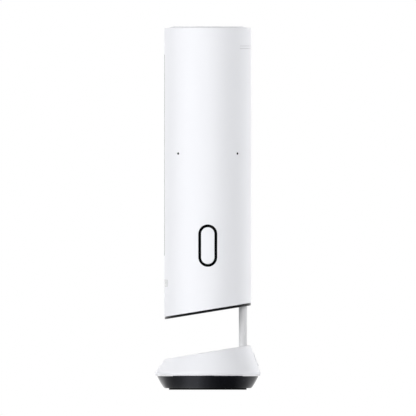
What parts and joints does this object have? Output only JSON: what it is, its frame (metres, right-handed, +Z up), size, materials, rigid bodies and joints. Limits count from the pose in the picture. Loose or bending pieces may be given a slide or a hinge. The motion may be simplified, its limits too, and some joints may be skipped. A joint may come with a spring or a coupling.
{
  "type": "smart display",
  "caption": "Tall round smart display column with a slanted underside, sliding on a slim rear mast above a slanted round base that swivels on a black foot ring.",
  "frame": {"origin": "centre of the foot's footprint, on the ground", "axes": "+Z up, the display faces -Y, the mast is at +Y, the side key is at +X"},
  "size_m": [0.102, 0.102, 0.3512],
  "materials": {
    "white_shell": "satin moulded plastic",
    "white_key": "satin moulded plastic",
    "black_gloss": "gloss moulded plastic",
    "black_matte": "matt moulded plastic",
    "rubber_black": "soft rubber",
    "mast_metal": "satin anodised",
    "steel": "plain steel",
    "heat_sink_metal": "extruded",
    "bearing_plastic": "low-friction moulded plastic",
    "chassis_grey": "matt moulded plastic",
    "board_green": "coated circuit board",
    "display_glass": "dark polished glass",
    "display_face": "display panel",
    "vent_plastic": "porous plastic",
    "window_grey": "smooth translucent plastic"
  },
  "bodies": {
    "foot": {"foot_ring": "black_gloss", "foot_pad": "rubber_black", "ballast": "steel", "foot_screws": "steel", "glide_ring": "bearing_plastic"},
    "turntable": {"base_housing": "white_shell", "base_floor": "black_matte", "floor_screws": "steel", "swivel_spindle": "steel", "spindle_screws": "steel", "spindle_clip": "steel", "mast_socket": "steel", "socket_screws": "steel", "mast": "mast_metal", "mast_collar": "steel", "mast_cable": "rubber_black", "power_board": "board_green", "usb_socket": "steel", "port_bezel": "white_shell"},
    "head": {"head_shell": "white_shell", "top_cap": "white_shell", "bottom_plate": "black_gloss", "plate_screws": "steel", "mast_grommet": "black_matte", "cover_glass": "display_glass", "display_panel": "display_face", "display_bracket": "black_matte", "bracket_screws": "steel", "sensor_window": "window_grey", "sensor_board": "board_green", "chassis": "chassis_grey", "lower_bush": "bearing_plastic", "upper_bush": "bearing_plastic", "friction_sleeve": "rubber_black", "main_board": "board_green", "board_screws": "steel", "shield_cans": "steel", "heat_sink": "heat_sink_metal", "antenna_board": "board_green", "mic_boards": "board_green", "mic_gaskets": "rubber_black", "vent_mesh": "vent_plastic", "speaker_gasket": "rubber_black", "speaker_basket": "steel", "speaker_cone": "black_matte", "speaker_magnet": "steel", "speaker_box": "black_matte", "key_bezel": "black_matte", "key_pin": "steel", "key_board": "board_green", "key_switches": "black_matte", "key_screws": "steel"},
    "side_key_body": {"side_key": "white_key"}
  },
  "joints": [
    {"name": "base_swivel", "type": "hinge", "parent": "foot", "child": "turntable", "pos_m": [0, 0, 0], "axis": [0, 0, 1], "range_deg": [-90, 90]},
    {"name": "column_slide", "type": "slide", "parent": "turntable", "child": "head", "axis": [0, 0, 1], "range_m": [-0.038, 0]},
    {"name": "side_key_rock", "type": "hinge", "parent": "head", "child": "side_key_body", "pos_m": [0.0371, 0, 0.1393], "axis": [0, 1, 0], "range_deg": [-2.5, 2.5], "stiffness_Nm_per_rad": 0.4}
  ]
}
